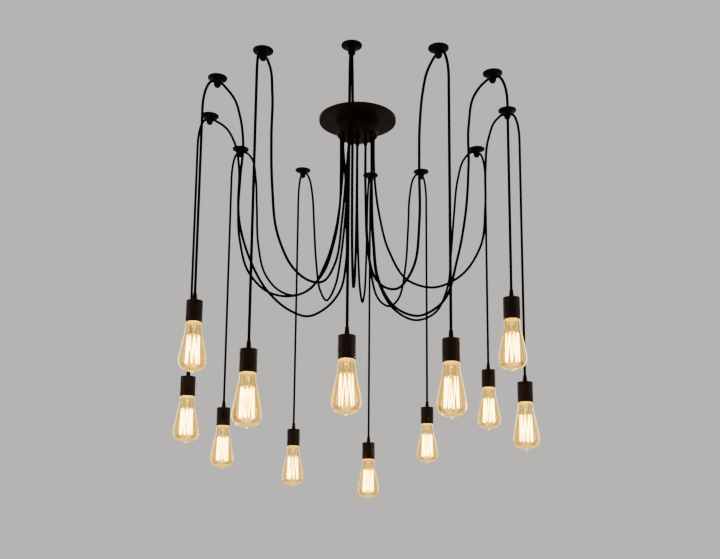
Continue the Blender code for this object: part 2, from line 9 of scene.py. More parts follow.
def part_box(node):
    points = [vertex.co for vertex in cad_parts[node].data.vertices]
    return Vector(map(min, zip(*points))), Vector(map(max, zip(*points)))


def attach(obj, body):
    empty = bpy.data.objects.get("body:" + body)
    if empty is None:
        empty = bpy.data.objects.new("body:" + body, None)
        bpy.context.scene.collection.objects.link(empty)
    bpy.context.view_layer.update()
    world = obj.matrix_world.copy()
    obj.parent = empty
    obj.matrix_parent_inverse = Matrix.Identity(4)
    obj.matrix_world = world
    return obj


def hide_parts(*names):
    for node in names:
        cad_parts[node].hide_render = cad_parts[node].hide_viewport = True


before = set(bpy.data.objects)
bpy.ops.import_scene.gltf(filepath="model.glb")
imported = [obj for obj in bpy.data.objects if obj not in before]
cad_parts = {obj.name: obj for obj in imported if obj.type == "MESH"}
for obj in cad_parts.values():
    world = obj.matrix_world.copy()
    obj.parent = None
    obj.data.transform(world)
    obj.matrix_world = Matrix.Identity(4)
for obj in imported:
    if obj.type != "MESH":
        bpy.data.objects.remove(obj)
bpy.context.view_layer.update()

# The photograph's frame and lens in pixels (the sensor in millimetres), then its camera and the studio in
# metres and degrees
FRAME_WIDTH = 720
FRAME_HEIGHT = 559
FOCAL_PIXELS = 850
AXIS_ROW = 364.1
SENSOR_WIDTH = 36.0
CAMERA_PLACE = (0.012, -2.136, -1.007)
CAMERA_PITCH = 9.17
CAMERA_ROLL = -0.48
FLOOR_DEPTH = 2.4
FLOOR_HALF = 60.0
FLOOR_FADE_START = 3.0
FLOOR_FADE_END = 14.0
FLOOR_COLOUR = (0.74, 0.72, 0.69)
BACKDROP = (0.66, 0.64, 0.61)

LIGHTS = 12
CEILING_BODY = "ceiling_frame"

# Sizes of the light's pieces, in metres
FIT = 0.0003
CORD_RADIUS = 0.0032
CORD_RING_RUN = 0.0035
CORD_BEND_RADIUS = 0.0115
TURN_BALL_RADIUS = 0.0029
TURN_CUP_RADIUS = 0.0030
TURN_NECK_DEPTH = 0.00030
TURN_SHOULDER_DEPTH = 0.00034
GRIP_RING_RADIUS = 0.0435
GRIP_TIP_HEIGHT = 0.0055
GRIP_COLLAR_HEIGHT = 0.0040
SPLICE_DEPTH = 0.020
SPLICE_RADIUS = 0.017
SPLICE_HEIGHT = 0.009
SPLICE_BORE_RADIUS = 0.0075
SPLICE_EDGE = 0.003
HOOK_BORE_DEPTH = 0.0124
HOOK_MOUTH = 0.0102
HOOK_BORE_REACH = 0.03
ARCH_TAIL = 0.0040
HOLDER_RADIUS = 0.019
HOLDER_LENGTH = 0.050
HOLDER_ROOM = 0.009
CAP_RADIUS = 0.01325
CAP_HEIGHT = 0.0225
CAP_TIP_HEIGHT = 0.0045

# The route of each swag in the upright plane through its grip and its hook, as the solids have it: metres
# out, with the grip at the radius of the grips' ring, and down from the ceiling
SWAG_ROUTES = (
    ((0.045, 0.160), (0.053, 0.280), (0.078, 0.400), (0.125, 0.480), (0.195, 0.507), (0.262, 0.440),
     (0.288, 0.320), (0.295, 0.200), (0.308, 0.100), (0.335, 0.035)),
    ((0.055, 0.170), (0.072, 0.300), (0.100, 0.420), (0.150, 0.479), (0.213, 0.492), (0.285, 0.472),
     (0.340, 0.410), (0.362, 0.310), (0.370, 0.190), (0.371, 0.085), (0.384, 0.025)),
    ((0.034, 0.180), (0.029, 0.300), (0.030, 0.400), (0.046, 0.475), (0.088, 0.527), (0.145, 0.556),
     (0.192, 0.547), (0.251, 0.510), (0.306, 0.430), (0.335, 0.340), (0.335, 0.240), (0.330, 0.150),
     (0.340, 0.085), (0.357, 0.042), (0.380, 0.020)),
    ((0.043, 0.150), (0.045, 0.250), (0.058, 0.340), (0.092, 0.435), (0.135, 0.478), (0.184, 0.488),
     (0.225, 0.478), (0.275, 0.430), (0.303, 0.340), (0.310, 0.240), (0.311, 0.140), (0.325, 0.073),
     (0.350, 0.032), (0.374, 0.016)),
    ((0.044, 0.130), (0.050, 0.210), (0.065, 0.300), (0.095, 0.385), (0.140, 0.447), (0.194, 0.460),
     (0.245, 0.440), (0.295, 0.385), (0.320, 0.300), (0.329, 0.190), (0.336, 0.100), (0.350, 0.042),
     (0.371, 0.018)),
    ((0.050, 0.150), (0.065, 0.250), (0.090, 0.350), (0.130, 0.430), (0.185, 0.457), (0.238, 0.415),
     (0.272, 0.320), (0.292, 0.210), (0.310, 0.110), (0.338, 0.048), (0.367, 0.020)),
    ((0.047, 0.150), (0.058, 0.250), (0.085, 0.350), (0.130, 0.430), (0.190, 0.455), (0.248, 0.415),
     (0.283, 0.320), (0.300, 0.210), (0.315, 0.110), (0.341, 0.048), (0.368, 0.020)),
    ((0.044, 0.160), (0.054, 0.280), (0.076, 0.390), (0.115, 0.460), (0.185, 0.473), (0.252, 0.435),
     (0.295, 0.335), (0.314, 0.210), (0.326, 0.105), (0.351, 0.044), (0.380, 0.020)),
    ((0.045, 0.180), (0.050, 0.330), (0.068, 0.440), (0.110, 0.502), (0.180, 0.528), (0.245, 0.500),
     (0.284, 0.430), (0.299, 0.320), (0.310, 0.210), (0.324, 0.105), (0.345, 0.043), (0.367, 0.018)),
    ((0.046, 0.160), (0.060, 0.270), (0.087, 0.370), (0.135, 0.446), (0.200, 0.467), (0.268, 0.440),
     (0.320, 0.365), (0.334, 0.260), (0.336, 0.160), (0.345, 0.075), (0.366, 0.025)),
    ((0.045, 0.190), (0.052, 0.340), (0.073, 0.460), (0.125, 0.532), (0.200, 0.561), (0.265, 0.535),
     (0.305, 0.440), (0.330, 0.330), (0.340, 0.210), (0.342, 0.110), (0.359, 0.040), (0.384, 0.018)),
    ((0.044, 0.150), (0.047, 0.260), (0.060, 0.370), (0.098, 0.455), (0.160, 0.498), (0.235, 0.512),
     (0.298, 0.475), (0.321, 0.380), (0.321, 0.250), (0.325, 0.140), (0.338, 0.075), (0.357, 0.035),
     (0.381, 0.018)),
)


def add_object(name, data):
    """A new object in the scene."""
    made = bpy.data.objects.new(name, data)
    bpy.context.scene.collection.objects.link(made)
    return made


def make_camera():
    """The photograph's camera. Its axis meets the picture at AXIS_ROW, below the middle, which is the
    lens shift."""
    pitch, roll = math.radians(CAMERA_PITCH), math.radians(CAMERA_ROLL)
    ahead = Vector((0, math.cos(pitch), math.sin(pitch)))
    up = Vector((0, -math.sin(pitch), math.cos(pitch)))
    right = Vector((1, 0, 0))
    across = right * math.cos(roll) - up * math.sin(roll)
    upward = right * math.sin(roll) + up * math.cos(roll)
    lens = bpy.data.cameras.new("photo_camera")
    lens.sensor_fit = "HORIZONTAL"
    lens.sensor_width = SENSOR_WIDTH
    lens.lens = SENSOR_WIDTH * FOCAL_PIXELS / FRAME_WIDTH
    lens.shift_y = (AXIS_ROW - FRAME_HEIGHT / 2) / FRAME_WIDTH
    camera = add_object("photo_camera", lens)
    turn = Matrix((across, upward, -ahead)).transposed().to_4x4()
    camera.matrix_world = Matrix.Translation(CAMERA_PLACE) @ turn
    bpy.context.scene.camera = camera


def smooth_line(points, steps, start_slope=None, end_slope=None):
    """A smooth line through the points: in each span the cubic that leaves each end with a slope taken
    from its neighbours by distance. Slopes can be given for the two ends."""
    points = np.asarray(points, float)
    spans = np.linalg.norm(np.diff(points, axis=0), axis=1)
    slopes = np.gradient(points, np.concatenate([[0.0], np.cumsum(spans)]), axis=0)
    if start_slope is not None:
        slopes[0] = start_slope
    if end_slope is not None:
        slopes[-1] = end_slope
    t = (np.arange(steps) / steps)[None, :, None]
    span = spans[:, None, None]
    line = (
        (2 * t**3 - 3 * t**2 + 1) * points[:-1, None]
        + (t**3 - 2 * t**2 + t) * span * slopes[:-1, None]
        + (3 * t**2 - 2 * t**3) * points[1:, None]
        + (t**3 - t**2) * span * slopes[1:, None]
    )
    return np.concatenate([line.reshape(-1, points.shape[1]), points[-1:]])


def even_line(line, run):
    """The same line, cut into equal runs of about the length given."""
    line = np.asarray(line, float)
    along = np.concatenate([[0.0], np.cumsum(np.linalg.norm(np.diff(line, axis=0), axis=1))])
    places = np.linspace(0, along[-1], max(2, int(round(along[-1] / run)) + 1))
    return np.stack([np.interp(places, along, line[:, i]) for i in range(line.shape[1])], axis=1)


def rounded_outline(corners, steps=5):
    """An outline of (radius, height, rounding) corners. A corner gives way to the curve
    (1-t)^2 A + 2t(1-t) C + t^2 B, where A and B lie at the rounding from it on its two sides."""
    places = np.array([corner[:2] for corner in corners], float)
    roundings = [corner[2] for corner in corners]
    outline = []
    for i, (corner, rounding) in enumerate(zip(places, roundings)):
        if rounding == 0 or i in (0, len(corners) - 1):
            outline.append(corner[None])
            continue
        before, after = places[i - 1] - corner, places[i + 1] - corner
        start = corner + before * min(rounding / np.linalg.norm(before), 0.5)
        end = corner + after * min(rounding / np.linalg.norm(after), 0.5)
        t = np.linspace(0, 1, steps + 1)[:, None]
        outline.append((1 - t) ** 2 * start + 2 * t * (1 - t) * corner + t**2 * end)
    return np.concatenate(outline)


def revolved(outline, sides):
    """Grid of points: each row is a ring round Z, at one (radius, height) of the outline. The outline
    runs down the outer side, so that faces point outwards."""
    outline = np.asarray(outline, float)
    turn = np.arange(sides) * math.tau / sides
    radius, height = outline[:, :1], outline[:, 1:]
    return np.stack([radius * np.cos(turn), radius * np.sin(turn), height + 0 * turn], axis=2)


def tube(line, radius, side, sides=16):
    """Grid of points round a line: each row is a ring, centre + radius (cos a side + sin a other), where
    side stays square to the line's plane and other is square to side and to the line. The radius can
    change from ring to ring. The two ends close in a flat cap."""
    line = np.asarray(line, float)
    ahead = np.gradient(line, axis=0)
    ahead /= np.linalg.norm(ahead, axis=1, keepdims=True)
    side = np.broadcast_to(np.asarray(side, float), line.shape)
    side = side - ahead * np.sum(side * ahead, axis=1, keepdims=True)
    side /= np.linalg.norm(side, axis=1, keepdims=True)
    other = np.cross(ahead, side)
    turn = np.arange(sides) * math.tau / sides
    round_it = np.cos(turn)[None, :, None] * side[:, None] + np.sin(turn)[None, :, None] * other[:, None]
    rings = line[:, None] + np.broadcast_to(radius, len(line))[:, None, None] * round_it
    first = np.broadcast_to(line[0], (1, sides, 3))
    last = np.broadcast_to(line[-1], (1, sides, 3))
    return np.concatenate([first, rings, last])[:, ::-1]


def grid_faces(rows, columns, loop):
    """Four-sided faces of a grid whose columns close on themselves. A loop closes the rows as well."""
    row = np.arange(rows if loop else rows - 1)[:, None]
    column = np.arange(columns)[None]
    below, beside = (row + 1) % rows, (column + 1) % columns
    corners = (row * columns + column, below * columns + column, below * columns + beside,
               row * columns + beside)
    return np.stack([np.broadcast_to(c, (len(row), columns)) for c in corners], axis=2).reshape(-1, 4)


UV_NAME = "round_and_along"
SHARP_ABOVE = 38


def mesh_of(name, grids, loop=False, sharp_above=SHARP_ABOVE, lengthwise=None):
    """One mesh of several grids. Its edges stay sharp above an angle in degrees. Lengthwise gives its UV
    map: once round a grid's columns, and along its rows in the length given for each."""
    mesh = bpy.data.meshes.new(name)
    points = np.concatenate([grid.reshape(-1, 3) for grid in grids])
    starts = np.cumsum([0] + [grid.shape[0] * grid.shape[1] for grid in grids])
    faces = [grid_faces(*grid.shape[:2], loop) + start for grid, start in zip(grids, starts)]
    mesh.from_pydata(points.tolist(), [], np.concatenate(faces).tolist())
    if lengthwise is not None:
        maps = []
        for grid in grids:
            columns = grid.shape[1]
            u = np.arange(columns)[None] / columns
            v = np.append(lengthwise, lengthwise[:1])[:, None] if loop else lengthwise[:, None]
            upper, lower = v[:-1] + 0 * u, v[1:] + 0 * u
            here, beside = u + 0 * upper, u + 1 / columns + 0 * upper
            corners = [(here, upper), (here, lower), (beside, lower), (beside, upper)]
            maps.append(np.stack([np.stack(corner, axis=2) for corner in corners], axis=2).reshape(-1, 2))
        layer = mesh.uv_layers.new(name=UV_NAME)
        layer.data.foreach_set("uv", np.concatenate(maps).astype(np.float32).ravel())
    welded = bmesh.new()
    welded.from_mesh(mesh)
    bmesh.ops.remove_doubles(welded, verts=welded.verts, dist=1e-6)
    bmesh.ops.recalc_face_normals(welded, faces=welded.faces)
    welded.to_mesh(mesh)
    welded.free()
    mesh.shade_smooth()
    mesh.set_sharp_from_angle(angle=math.radians(sharp_above))
    return mesh


def moved(grid, place, heading=0.0):
    """A grid turned about Z by the heading and moved to its place."""
    c, s = math.cos(heading), math.sin(heading)
    return grid @ np.array(((c, s, 0), (-s, c, 0), (0, 0, 1))) + np.asarray(place, float)


def add_piece(name, mesh, material, body, node):
    """A visible piece that rides on a body, stands for a CAD node and takes the material given."""
    piece = add_object(name, mesh)
    mesh.materials.append(material)
    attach(piece, body)
    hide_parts(node)
    return piece


def add_grids(name, grids, material, body, node, slot, **shape):
    """A visible piece made of grids. Shape holds settings of mesh_of."""
    return add_piece(name, mesh_of(name, grids, **shape), material, body, node)


def add_turned(name, corners, material, body, node, slot, sides, place=(0, 0, 0), steps=5, loop=False):
    """A visible piece turned from an outline of (radius, height, rounding) corners."""
    grid = moved(revolved(rounded_outline(corners, steps), sides), place)
    add_grids(name, [grid], material, body, node, slot, loop=loop)


def middle(node):
    """A round node's centre, and its lowest and highest point."""
    low, high = (np.array(corner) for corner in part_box(node))
    return (low + high) / 2, low[2], high[2]


# Materials


def add_node(tree, kind, inputs=None, **settings):
    """A node with its settings, and its inputs as values or as the sockets that feed them."""
    made = tree.nodes.new(kind)
    for name, value in settings.items():
        setattr(made, name, value)
    for name, value in (inputs or {}).items():
        if isinstance(value, bpy.types.NodeSocket):
            tree.links.new(value, made.inputs[name])
        else:
            made.inputs[name].default_value = value
    return made


def new_group(name, inputs, outputs):
    """An empty node group, with its sockets as (name, kind)."""
    tree = bpy.data.node_groups.new(name, "ShaderNodeTree")
    for way, sockets in (("INPUT", inputs), ("OUTPUT", outputs)):
        for socket, kind in sockets:
            tree.interface.new_socket(name=socket, in_out=way, socket_type=f"NodeSocket{kind}")
    return tree, tree.nodes.new("NodeGroupInput"), tree.nodes.new("NodeGroupOutput")


def new_material(name):
    """A material with its node tree and its shader."""
    material = bpy.data.materials.new(name)
    material.use_nodes = True
    return material, material.node_tree, material.node_tree.nodes["Principled BSDF"]


def add_math(tree, operation, *values):
    """The result of a sum on sockets and numbers."""
    return add_node(tree, "ShaderNodeMath", dict(enumerate(values)), operation=operation).outputs[0]


def add_tint(tree, factor, first, second):
    """The mix of two colours by a factor."""
    mix = add_node(tree, "ShaderNodeMix", {"Factor": factor}, data_type="RGBA")
    mix.inputs["A"].default_value = (*first, 1.0)
    mix.inputs["B"].default_value = (*second, 1.0)
    return mix.outputs["Result"]


def add_bump(tree, shader, height, distance, strength):
    """A bump on the shader's surface."""
    bump = add_node(tree, "ShaderNodeBump", {"Height": height, "Distance": distance, "Strength": strength})
    tree.links.new(bump.outputs["Normal"], shader.inputs["Normal"])


def add_uv(tree):
    """The two parts of the UV map that mesh_of makes: round a grid and along it."""
    where = add_node(tree, "ShaderNodeUVMap", uv_map=UV_NAME)
    parts = add_node(tree, "ShaderNodeSeparateXYZ", {"Vector": where.outputs["UV"]})
    return parts.outputs["X"], parts.outputs["Y"]


def make_handling():
    """Wear of a handled surface: broad smudges change the gloss, and a fine grain lifts the surface.
    Mask is the smudge, from 0 to 1."""
    tree, given, result = new_group(
        "handled_surface",
        (("Vector", "Vector"), ("Smudge Scale", "Float"), ("Grain Scale", "Float"), ("Gloss", "Float"),
         ("Spread", "Float")),
        (("Mask", "Float"), ("Roughness", "Float"), ("Grain", "Float")),
    )
    smudge = add_node(tree, "ShaderNodeTexNoise", {
        "Vector": given.outputs["Vector"], "Scale": given.outputs["Smudge Scale"], "Detail": 5.0,
        "Roughness": 0.6})
    mask = add_node(tree, "ShaderNodeMapRange", {"Value": smudge.outputs["Fac"], "From Min": 0.35,
                                                 "From Max": 0.68})
    grain = add_node(tree, "ShaderNodeTexNoise", {
        "Vector": given.outputs["Vector"], "Scale": given.outputs["Grain Scale"], "Detail": 2.0})
    change = add_math(tree, "MULTIPLY", mask.outputs["Result"], given.outputs["Spread"])
    rough = add_math(tree, "ADD", given.outputs["Gloss"], change)
    tree.links.new(mask.outputs["Result"], result.inputs["Mask"])
    tree.links.new(rough, result.inputs["Roughness"])
    tree.links.new(grain.outputs["Fac"], result.inputs["Grain"])
    return tree


HANDLING = make_handling()


def handled_material(name, colour, smudged, gloss, spread, lift, metallic=0.0, smudge_scale=40.0,
                     grain_scale=900.0, shine=0.5):
    """A hard surface of one colour with smudges of another, an uneven gloss and a fine grain."""
    material, tree, shader = new_material(name)
    place = add_node(tree, "ShaderNodeTexCoord")
    wear = add_node(tree, "ShaderNodeGroup", {
        "Vector": place.outputs["Object"], "Smudge Scale": smudge_scale, "Grain Scale": grain_scale,
        "Gloss": gloss, "Spread": spread}, node_tree=HANDLING)
    tree.links.new(add_tint(tree, wear.outputs["Mask"], colour, smudged), shader.inputs["Base Color"])
    tree.links.new(wear.outputs["Roughness"], shader.inputs["Roughness"])
    add_bump(tree, shader, wear.outputs["Grain"], distance=lift, strength=0.5)
    shader.inputs["Metallic"].default_value = metallic
    shader.inputs["Specular IOR Level"].default_value = shine
    return material


BRAID_STRANDS = 8
BRAID_PITCH = 0.0022
BRAID_LIFT = 0.00035
BRAID_FUZZ = 0.25
FUZZ_SCALE = 2500.0
# Braid colours: painted shade in the furrows between strands, and the strands' own colour on their crowns
BRAID_PAINTED_SHADE = (0.0012, 0.0009, 0.0009)
BRAID_CROWN = (0.0095, 0.0060, 0.0052)


def cord_material():
    """Braided black textile. On the UV map the strands cross as |sin p| |sin q|, where p and q run round
    the cord and along it in opposite ways, which gives rows of small diamonds. The colour darkens into the
    furrows between the strands as painted shade."""
    material, tree, shader = new_material("braided_textile")
    across, down = add_uv(tree)
    around = add_math(tree, "MULTIPLY", across, BRAID_STRANDS * math.pi)
    along = add_math(tree, "MULTIPLY", down, math.pi / BRAID_PITCH)
    waves = []
    for way in ("ADD", "SUBTRACT"):
        wave = add_math(tree, "SINE", add_math(tree, way, around, along))
        waves.append(add_math(tree, "ABSOLUTE", wave))
    strands = add_math(tree, "MULTIPLY", *waves)
    place = add_node(tree, "ShaderNodeTexCoord")
    fuzz = add_node(tree, "ShaderNodeTexNoise", {"Vector": place.outputs["Object"], "Scale": FUZZ_SCALE,
                                                 "Detail": 2.0})
    # Painted shade: the colour darkens from the crowns into the furrows
    tree.links.new(add_tint(tree, strands, BRAID_PAINTED_SHADE, BRAID_CROWN), shader.inputs["Base Color"])
    height = add_math(tree, "MULTIPLY_ADD", fuzz.outputs["Fac"], BRAID_FUZZ, strands)
    add_bump(tree, shader, height, distance=BRAID_LIFT, strength=0.8)
    shader.inputs["Roughness"].default_value = 0.68
    shader.inputs["Specular IOR Level"].default_value = 0.0
    return material


# Painted glow of the filament's light on the glass, as (share of the way down, red, green, blue): a
# painted glow at the neck, a painted halo beside the filament, and painted highlight rings near the tip
GLASS_PAINTED_GLOW = (
    (0.0, 0.80, 0.58, 0.08), (0.050, 0.55, 0.40, 0.055), (0.07, 0.05, 0.030, 0.003),
    (0.26, 0.04, 0.024, 0.002), (0.38, 0.13, 0.076, 0.005), (0.78, 0.13, 0.076, 0.005),
    (0.895, 0.04, 0.024, 0.002), (0.93, 0.36, 0.23, 0.025), (0.95, 0.04, 0.025, 0.003),
    (1.0, 0.30, 0.20, 0.025),
)
# Painted glow rows of the glass mount, in the same form
STEM_PAINTED_GLOW = ((0.0, 0.20, 0.13, 0.035), (0.35, 0.07, 0.045, 0.011), (1.0, 0.05, 0.03, 0.007))
# Colour of the painted rim highlight, and how sharply it gathers at the edge
RIM_PAINTED_HIGHLIGHT = (1.30, 0.72, 0.0)
RIM_HIGHLIGHT_SHARPNESS = 6.0


def glass_material(name, colour, painted_glow_rows, ior=1.47):
    """Clear glass with faint draw lines. It glows with painted light: a painted highlight at its rim,
    where it is seen edge on, and a painted glow in rows of (share of the way down the UV map, red, green,
    blue)."""
    material, tree, shader = new_material(name)
    place = add_node(tree, "ShaderNodeTexCoord")
    ripple = add_node(tree, "ShaderNodeTexNoise", {"Vector": place.outputs["Object"], "Scale": 60.0,
                                                   "Detail": 1.0})
    add_bump(tree, shader, ripple.outputs["Fac"], distance=0.0002, strength=0.3)
    down = add_uv(tree)[1]
    # Painted glow: emission colour read from the rows along the UV map
    painted_glow_ramp = add_node(tree, "ShaderNodeValToRGB", {"Fac": down})
    stops = painted_glow_ramp.color_ramp.elements
    while len(stops) < len(painted_glow_rows):
        stops.new(0.5)
    for stop, (share, *light) in zip(stops, painted_glow_rows):
        stop.position = share
        stop.color = (*light, 1.0)
    # Painted highlight: Layer Weight adds the rim colour where the glass is seen edge on
    slant = add_node(tree, "ShaderNodeLayerWeight", {"Blend": 0.5})
    rim = add_math(tree, "POWER", slant.outputs["Facing"], RIM_HIGHLIGHT_SHARPNESS)
    glow_and_rim_highlight = add_node(tree, "ShaderNodeMix", {"Factor": rim, "A": painted_glow_ramp.outputs["Color"]},
                   data_type="RGBA", blend_type="ADD")
    glow_and_rim_highlight.inputs["B"].default_value = (*RIM_PAINTED_HIGHLIGHT, 1.0)
    tree.links.new(glow_and_rim_highlight.outputs["Result"], shader.inputs["Emission Color"])
    shader.inputs["Emission Strength"].default_value = 1.0
    shader.inputs["Base Color"].default_value = (*colour, 1.0)
    shader.inputs["Roughness"].default_value = 0.0
    shader.inputs["IOR"].default_value = ior
    shader.inputs["Transmission Weight"].default_value = 1.0
    return material


def glowing_material(name, colour, strength):
    """A wire that glows, a little uneven along its length, as a coiled filament does."""
    material, tree, shader = new_material(name)
    place = add_node(tree, "ShaderNodeTexCoord")
    coils = add_node(tree, "ShaderNodeTexWave", {"Vector": place.outputs["Object"], "Scale": 400.0},
                     bands_direction="Z")
    dim = [0.75 * c for c in colour]
    tree.links.new(add_tint(tree, coils.outputs["Fac"], dim, colour), shader.inputs["Emission Color"])
    shader.inputs["Base Color"].default_value = (0.25, 0.2, 0.15, 1.0)
    shader.inputs["Emission Strength"].default_value = strength
    return material


CORD = cord_material()
CANOPY_PAINT = handled_material(
    "satin_black_paint", (0.0050, 0.0024, 0.0016), (0.0095, 0.0044, 0.0028), gloss=0.42, spread=0.12,
    lift=0.00003, smudge_scale=18.0, grain_scale=1400.0, shine=0.045)
HOOK_PLASTIC = handled_material(
    "black_hook_plastic", (0.0026, 0.0022, 0.0022), (0.0050, 0.0042, 0.0040), gloss=0.45, spread=0.12,
    lift=0.00003, smudge_scale=70.0, shine=0.03)
HOLDER_PLASTIC = handled_material(
    "satin_black_holder", (0.0085, 0.0034, 0.0018), (0.0150, 0.0060, 0.0030), gloss=0.36, spread=0.10,
    lift=0.00002, smudge_scale=55.0, shine=0.07)
GRIP_NYLON = handled_material(
    "black_nylon", (0.0030, 0.0026, 0.0025), (0.0065, 0.0052, 0.0048), gloss=0.50, spread=0.10,
    lift=0.00004, smudge_scale=90.0, shine=0.04)
ZINC = handled_material(
    "zinc_plate", (0.62, 0.61, 0.57), (0.50, 0.48, 0.42), gloss=0.28, spread=0.18, lift=0.00005,
    metallic=1.0)
CAP_METAL = handled_material(
    "nickel_cap", (0.66, 0.60, 0.48), (0.50, 0.43, 0.32), gloss=0.22, spread=0.16, lift=0.00004,
    metallic=1.0, smudge_scale=120.0)
WIRE_METAL = handled_material(
    "support_wire", (0.55, 0.50, 0.42), (0.40, 0.35, 0.28), gloss=0.25, spread=0.1, lift=0.00001,
    metallic=1.0, smudge_scale=200.0)
BLOCK_PLASTIC = handled_material(
    "white_block", (0.80, 0.78, 0.72), (0.68, 0.65, 0.58), gloss=0.40, spread=0.15, lift=0.00005)
BLACK_GLASS = handled_material(
    "cap_insulator", (0.010, 0.010, 0.012), (0.02, 0.02, 0.02), gloss=0.12, spread=0.1, lift=0.00001)
AMBER_GLASS = glass_material("amber_glass", (1.0, 0.80, 0.34), GLASS_PAINTED_GLOW)
STEM_GLASS = glass_material("stem_glass", (1.0, 0.95, 0.84), STEM_PAINTED_GLOW, ior=1.52)
FILAMENT = glowing_material("glowing_filament", (1.0, 0.80, 0.42), strength=40.0)


# Cords


def grip_place(light):
    """The grips stand evenly round the canopy, the first at the front, clockwise from above."""
    angle = math.radians(-90 - 360 * light / LIGHTS)
    return GRIP_RING_RADIUS * np.array((math.cos(angle), math.sin(angle), 0.0))


def quarter_turn(start, end, steps=16):
    """Points (out, down) of a quarter of an ellipse, start + (end - start) (sin a, 1 - cos a): it
    leaves start level and reaches end going down."""
    angle = np.linspace(0, math.pi / 2, steps + 1)
    reach = np.stack([np.sin(angle), 1 - np.cos(angle)], axis=1)
    return np.asarray(start) + (np.asarray(end) - start) * reach


def in_plane(start, run, line):
    """Points in space of an (out, down) line in the upright plane through start along run."""
    line = np.asarray(line, float)
    return start + run * (line[:, :1] - GRIP_RING_RADIUS) - np.array((0, 0, 1)) * line[:, 1:]


def run_direction(light):
    """The level direction from a light's grip to its hook."""
    run = (middle(f"hook_{light + 1:02d}")[0] - grip_place(light)) * (1, 1, 0)
    return run / np.linalg.norm(run)


def add_cord(name, line, radius, side, body, node, end=((0, 0),)):
    """A cord along the line. Its last ring closes through the rings of end, each a (radius, height over
    the last ring)."""
    grid = tube(line, radius, side)
    rim = (grid[-2] - line[-1]) / CORD_RADIUS
    closing = [line[-1] + rim * ring + (0, 0, height) for ring, height in end]
    grid = np.concatenate([grid[:-1], closing])
    run = np.linalg.norm(np.diff(line, axis=0), axis=1)
    along = np.concatenate([[0.0], np.cumsum(run)])
    length = along[-1]
    lengthwise = np.concatenate([[0.0], along, np.full(len(end), length)])
    piece = add_grids(name, [grid], CORD, body, node, "cord_black", lengthwise=lengthwise)


TURN_STEPS = 8


def make_swag(light):
    """A cord from its grip in the canopy, down its swag and up through its hook's bore, and over to the
    point where it turns straight down. Past the hook it steps aside with the square of the way out, to
    where its pendant hangs. It ends in a cup, r (cos a, sin a), over the point that its pendant swings
    about."""
    number = f"{light + 1:02d}"
    hook = middle(f"hook_{number}")[0]
    plumb, _, pivot = middle(f"drop_cord_{number}")
    grip, run = grip_place(light), run_direction(light)
    side = np.cross(run, (0, 0, 1))
    hook_out = GRIP_RING_RADIUS + (hook - grip) @ run
    reach, aside = (plumb - hook) @ run, (plumb - hook) @ side
    turn_out, turn_depth = hook_out + reach, -pivot - FIT
    grip_foot = -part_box("cord_grips")[0][2]
    free = smooth_line(
        [(GRIP_RING_RADIUS, grip_foot), *SWAG_ROUTES[light], (hook_out - HOOK_MOUTH, HOOK_BORE_DEPTH)],
        steps=12, start_slope=(0, 1), end_slope=(1, 0),
    )
    arch = quarter_turn((hook_out + HOOK_MOUTH, HOOK_BORE_DEPTH), (turn_out, turn_depth - ARCH_TAIL))
    start = [(GRIP_RING_RADIUS, grip_foot - GRIP_TIP_HEIGHT - GRIP_COLLAR_HEIGHT)]
    end = [(turn_out, turn_depth)]
    flat = even_line(np.concatenate([start, free, arch, end]), CORD_RING_RUN)
    past = np.maximum(0, flat[:, :1] - hook_out - HOOK_MOUTH) / (reach - HOOK_MOUTH)
    line = in_plane(grip, run, flat) + side * aside * past**2
    angle = np.linspace(math.asin(FIT / TURN_CUP_RADIUS), math.pi / 2, TURN_STEPS + 1)
    cup = TURN_CUP_RADIUS * np.stack([np.cos(angle), np.sin(angle)], axis=1) - (0, FIT)
    add_cord(f"swagged_cord_{number}", line, CORD_RADIUS, side, CEILING_BODY, "swag_cords", end=cup)


def make_drop(light):
    """The straight cord from its turn beside the hook down into the lampholder's grip. Its top is a ball,
    r (sin a, cos a) about the point that it swings about, which turns in the cup of the swag's end. So the
    cord looks whole at every pose and its two parts never touch."""
    number = f"{light + 1:02d}"
    plumb, foot, pivot = middle(f"drop_cord_{number}")
    angle = np.linspace(0, math.pi / 2, TURN_STEPS + 1)[1:]
    ball = TURN_BALL_RADIUS * np.stack([np.sin(angle), np.cos(angle)])
    straight = np.arange(pivot - TURN_SHOULDER_DEPTH, foot, -CORD_RING_RUN)
    heights = np.concatenate([pivot + ball[1], [pivot - TURN_NECK_DEPTH], straight, [foot]])
    radius = np.concatenate([ball[0], [TURN_BALL_RADIUS], np.full(len(straight) + 1, CORD_RADIUS)])
    line = np.stack([plumb[0] + 0 * heights, plumb[1] + 0 * heights, heights], axis=1)
    add_cord(f"hanging_cord_{number}", line, radius, (1, 0, 0), f"pendant_{number}", f"drop_cord_{number}")


